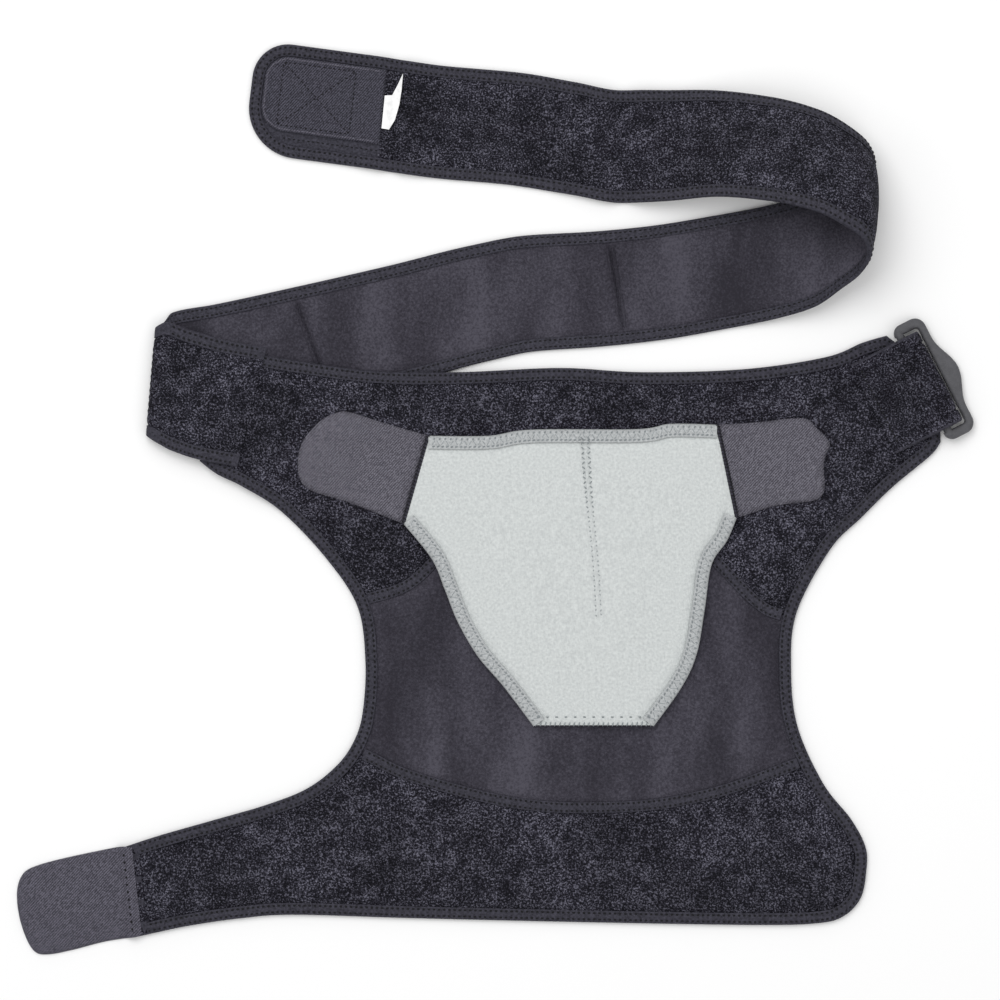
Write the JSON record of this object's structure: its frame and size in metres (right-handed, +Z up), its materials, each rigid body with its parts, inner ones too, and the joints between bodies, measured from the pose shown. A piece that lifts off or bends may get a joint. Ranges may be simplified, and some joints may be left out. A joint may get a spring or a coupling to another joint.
{
  "type": "shoulder brace",
  "caption": "Soft shoulder brace lying flat, with a chest strap spread in a loop, an arm band with a hook tab, a padded shield and a slide buckle.",
  "frame": {"origin": "middle of the footprint of the brace as it lies, on the table", "axes": "+X from the arm band's hook tab towards the slide buckle, +Y from the arm band towards the chest strap, +Z up off the table"},
  "size_m": [0.4972, 0.4726, 0.0458],
  "materials": {
    "loop_cloth": "brushed loop pile",
    "jersey": "smooth knit",
    "dark_tape": "smooth binding tape",
    "grey_hook": "fine hook fabric",
    "dark_hook": "fine hook fabric",
    "white_satin": "woven satin",
    "pad_foam": "cloth-faced foam",
    "pad_tape": "smooth binding tape",
    "dark_plastic": "moulded, matt"
  },
  "bodies": {
    "brace": {"yoke_panel": "loop_cloth", "shoulder_panel": "jersey", "arm_panel": "loop_cloth", "upper_seam_tape": "dark_tape", "lower_seam_tape": "dark_tape", "top_binding": "dark_tape", "lower_binding": "dark_tape", "arm_hook_tab": "grey_hook", "strap_web": "loop_cloth", "strap_binding": "dark_tape", "strap_hook_patch": "dark_hook", "blank_label": "white_satin", "pressure_pad": "pad_foam", "pad_top_binding": "pad_tape", "pad_right_binding": "pad_tape", "pad_left_binding": "pad_tape", "left_pad_tab": "grey_hook", "right_pad_tab": "grey_hook"},
    "buckle": {"slide_buckle": "dark_plastic"}
  },
  "joints": [
    {"name": "buckle_swing", "type": "hinge", "parent": "brace", "child": "buckle", "pos_m": [0.22265, 0.06003, 0.0055], "axis": [0.454, -0.891, 0], "range_deg": [0, 140]}
  ]
}
